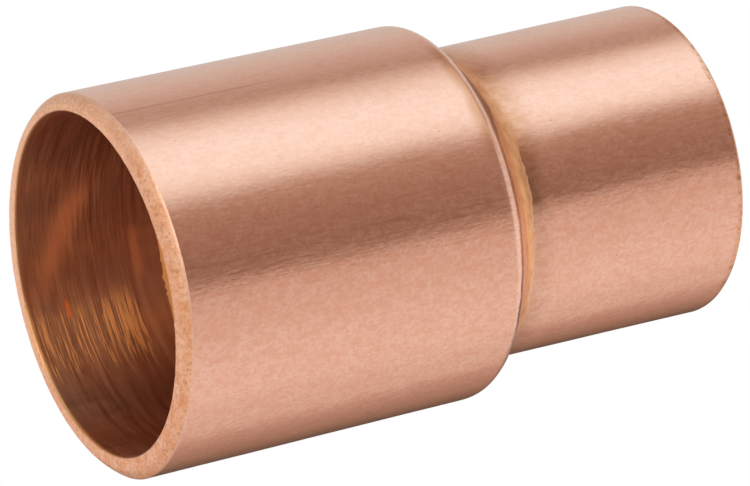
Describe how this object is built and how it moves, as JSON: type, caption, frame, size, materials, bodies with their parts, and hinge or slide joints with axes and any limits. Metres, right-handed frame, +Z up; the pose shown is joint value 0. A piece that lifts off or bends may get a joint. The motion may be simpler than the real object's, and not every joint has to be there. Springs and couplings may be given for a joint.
{
  "type": "concentric reducer",
  "caption": "One-piece copper tube reducer: a plain fitting end on the large side, a short cone and neck, and a solder cup on the small side.",
  "frame": {"origin": "on the bore's axis, halfway along the length", "axes": "+X along the bore's axis towards the small cup end, +Z up, the fitting lying on its side"},
  "size_m": [0.0378, 0.0222, 0.0222],
  "materials": {
    "copper": "satin brushed copper"
  },
  "bodies": {
    "root": {"reducer_body": "copper"}
  },
  "joints": []
}
